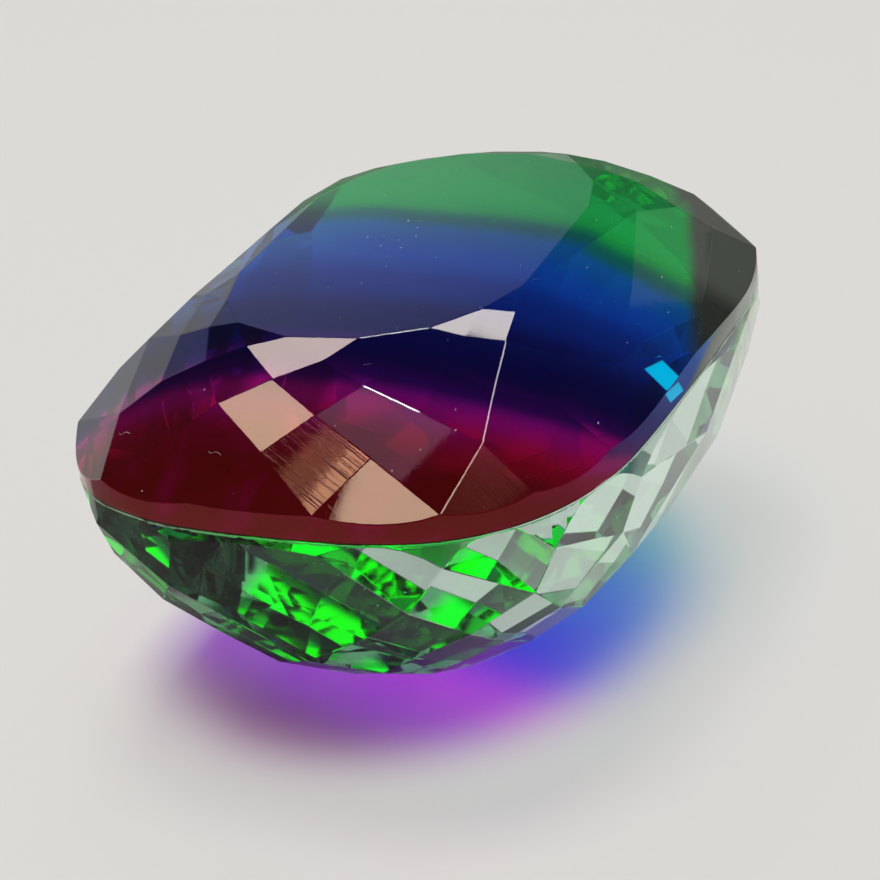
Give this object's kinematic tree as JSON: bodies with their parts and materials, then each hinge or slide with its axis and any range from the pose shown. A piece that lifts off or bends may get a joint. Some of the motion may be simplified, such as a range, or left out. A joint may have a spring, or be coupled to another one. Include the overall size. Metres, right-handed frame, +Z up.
{
  "type": "faceted tourmaline",
  "caption": "Large see-through faceted gem with an oval cushion outline, flat table, stepped triangular crown facets, thin polished girdle and a deep pavilion on a small flat culet.",
  "frame": {"origin": "centre of the flat culet on the stone's underside", "axes": "+Z up through the culet and the table, Y along the stone's length, X across its width"},
  "size_m": [0.031, 0.0416, 0.0231],
  "materials": {
    "crystal": "polished clear crystal with a banded colour zone at the girdle, green through blue to magenta and dark red"
  },
  "bodies": {
    "root": {"tourmaline": "crystal"}
  },
  "joints": []
}
